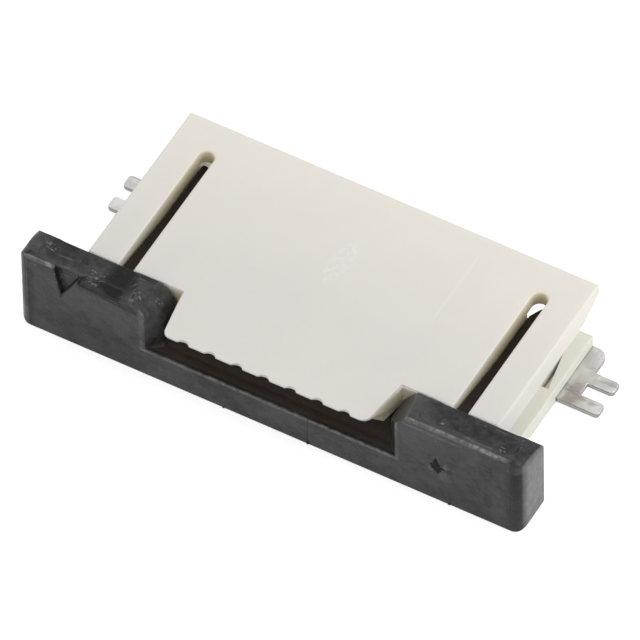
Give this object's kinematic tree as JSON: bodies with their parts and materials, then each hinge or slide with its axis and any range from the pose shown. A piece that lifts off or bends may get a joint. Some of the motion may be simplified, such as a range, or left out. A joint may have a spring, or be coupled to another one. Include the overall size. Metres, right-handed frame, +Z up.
{
  "type": "fpc connector",
  "caption": "Right-angle surface-mount connector for a flat flexible cable: ivory housing, black pull-out locking slider with finger ears, stamped contacts and side fitting nails.",
  "frame": {"origin": "middle of the housing's underside, on the board plane", "axes": "+X along the contact row, +Y from the cable side towards the solder tails, +Z up from the board"},
  "size_m": [0.0188, 0.0095, 0.0035],
  "materials": {
    "housing": "moulded ivory liquid crystal polymer, satin, slightly translucent at thin edges",
    "slider": "moulded black glass-filled polymer, satin with fine abrasion on the finger ears",
    "tinned_metal": "matt tin plating over copper alloy"
  },
  "bodies": {
    "base": {"housing": "housing", "fitting_nail_left": "tinned_metal", "fitting_nail_right": "tinned_metal", "contact_1": "tinned_metal", "contact_2": "tinned_metal", "contact_3": "tinned_metal", "contact_4": "tinned_metal", "contact_5": "tinned_metal", "contact_6": "tinned_metal", "contact_7": "tinned_metal"},
    "slider": {"slider": "slider"}
  },
  "joints": [
    {"name": "slider_pull", "type": "slide", "parent": "base", "child": "slider", "axis": [0, -1, 0], "range_m": [0, 0.002]}
  ]
}
